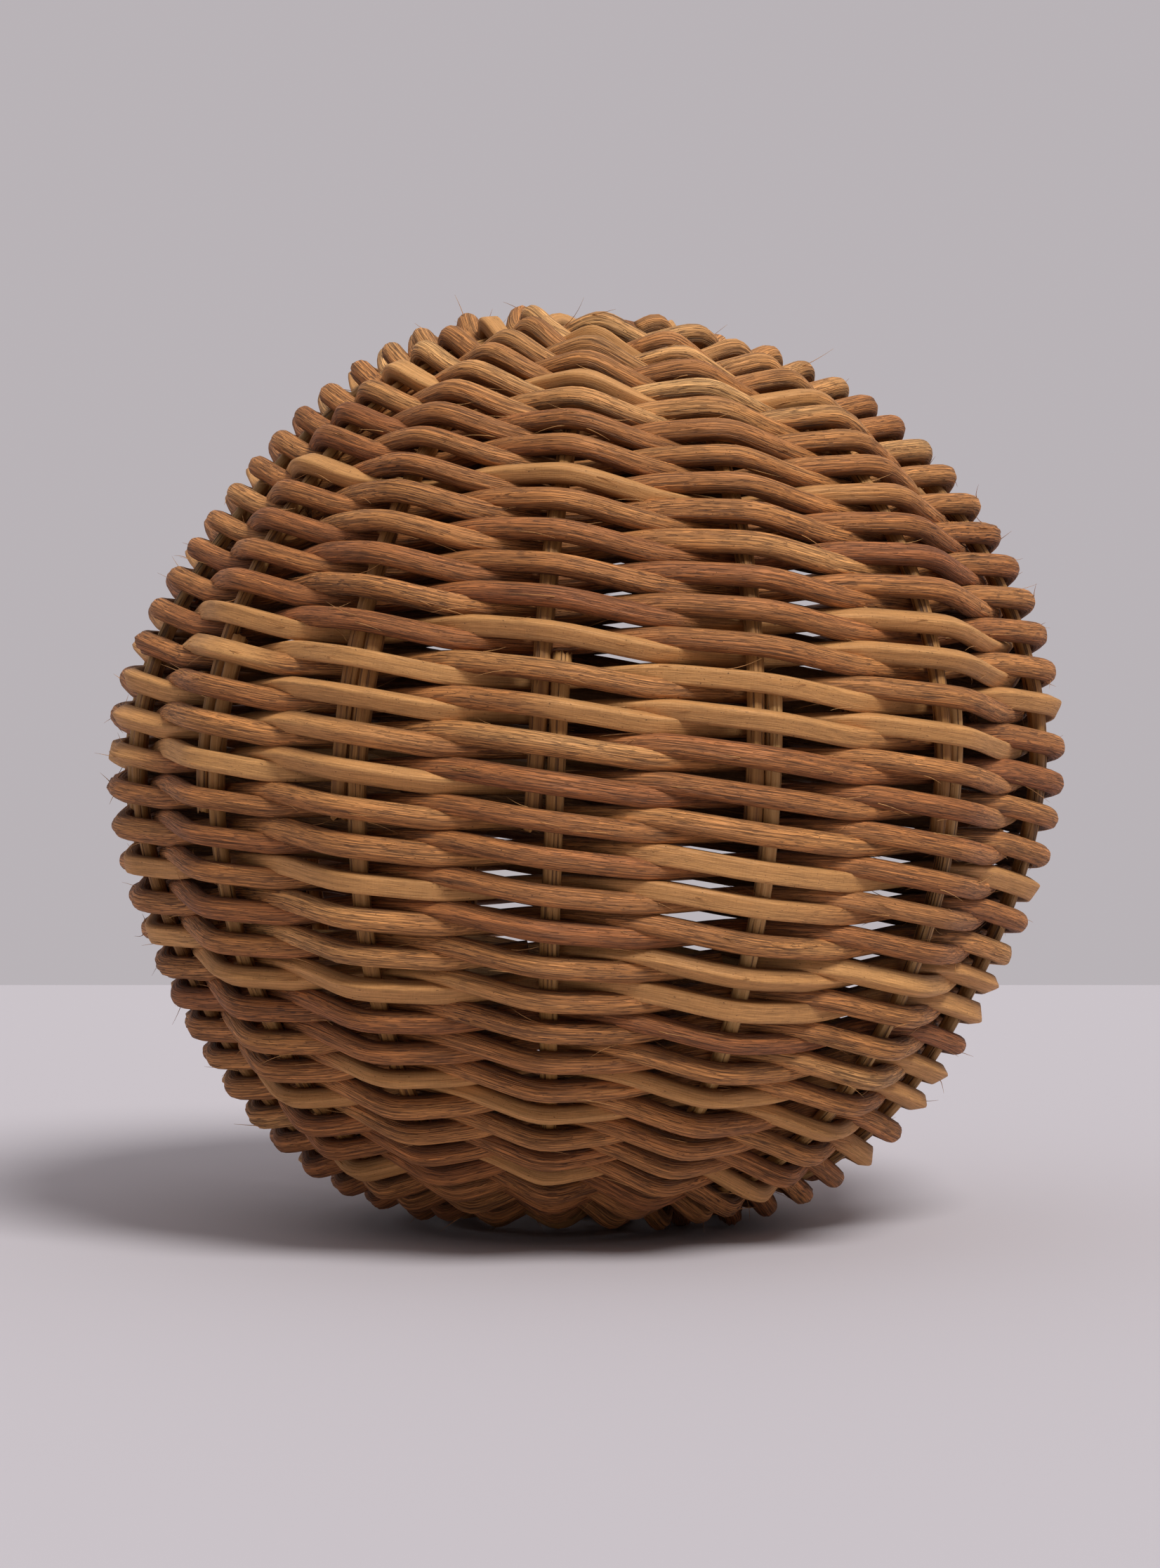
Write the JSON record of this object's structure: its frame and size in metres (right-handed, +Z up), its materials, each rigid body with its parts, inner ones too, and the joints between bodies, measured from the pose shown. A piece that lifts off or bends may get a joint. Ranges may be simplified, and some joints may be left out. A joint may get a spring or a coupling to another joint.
{
  "type": "woven rattan decorative ball",
  "caption": "Hollow decorative ball woven from round rattan cane over upright stakes, resting on a small flat spot.",
  "frame": {"origin": "on the floor, under the middle of the ball", "axes": "+Z up; the front of the ball faces -Y, +X is to its right as seen from the front"},
  "size_m": [0.201, 0.1966, 0.191],
  "materials": {
    "cane": "matte, grooved along its length",
    "stake": "matte, fibrous"
  },
  "bodies": {
    "root": {"upper_stake_01": "stake", "upper_stake_02": "stake", "upper_stake_03": "stake", "upper_stake_04": "stake", "upper_stake_05": "stake", "upper_stake_06": "stake", "upper_stake_07": "stake", "upper_stake_08": "stake", "upper_stake_09": "stake", "upper_stake_10": "stake", "upper_stake_11": "stake", "upper_stake_12": "stake", "upper_stake_13": "stake", "upper_stake_14": "stake", "lower_stake_01": "stake", "lower_stake_02": "stake", "lower_stake_03": "stake", "lower_stake_04": "stake", "lower_stake_05": "stake", "lower_stake_06": "stake", "lower_stake_07": "stake", "lower_stake_08": "stake", "lower_stake_09": "stake", "lower_stake_10": "stake", "lower_stake_11": "stake", "lower_stake_12": "stake", "lower_stake_13": "stake", "lower_stake_14": "stake", "cane_a_01": "cane", "cane_a_02": "cane", "cane_a_03": "cane", "cane_a_04": "cane", "cane_a_05": "cane", "cane_a_06": "cane", "cane_a_07": "cane", "cane_a_08": "cane", "cane_a_09": "cane", "cane_a_10": "cane", "cane_b_01": "cane", "cane_b_02": "cane", "cane_b_03": "cane", "cane_b_04": "cane", "cane_b_05": "cane", "cane_b_06": "cane", "cane_b_07": "cane", "cane_b_08": "cane", "cane_b_09": "cane", "cane_b_10": "cane"}
  },
  "joints": []
}
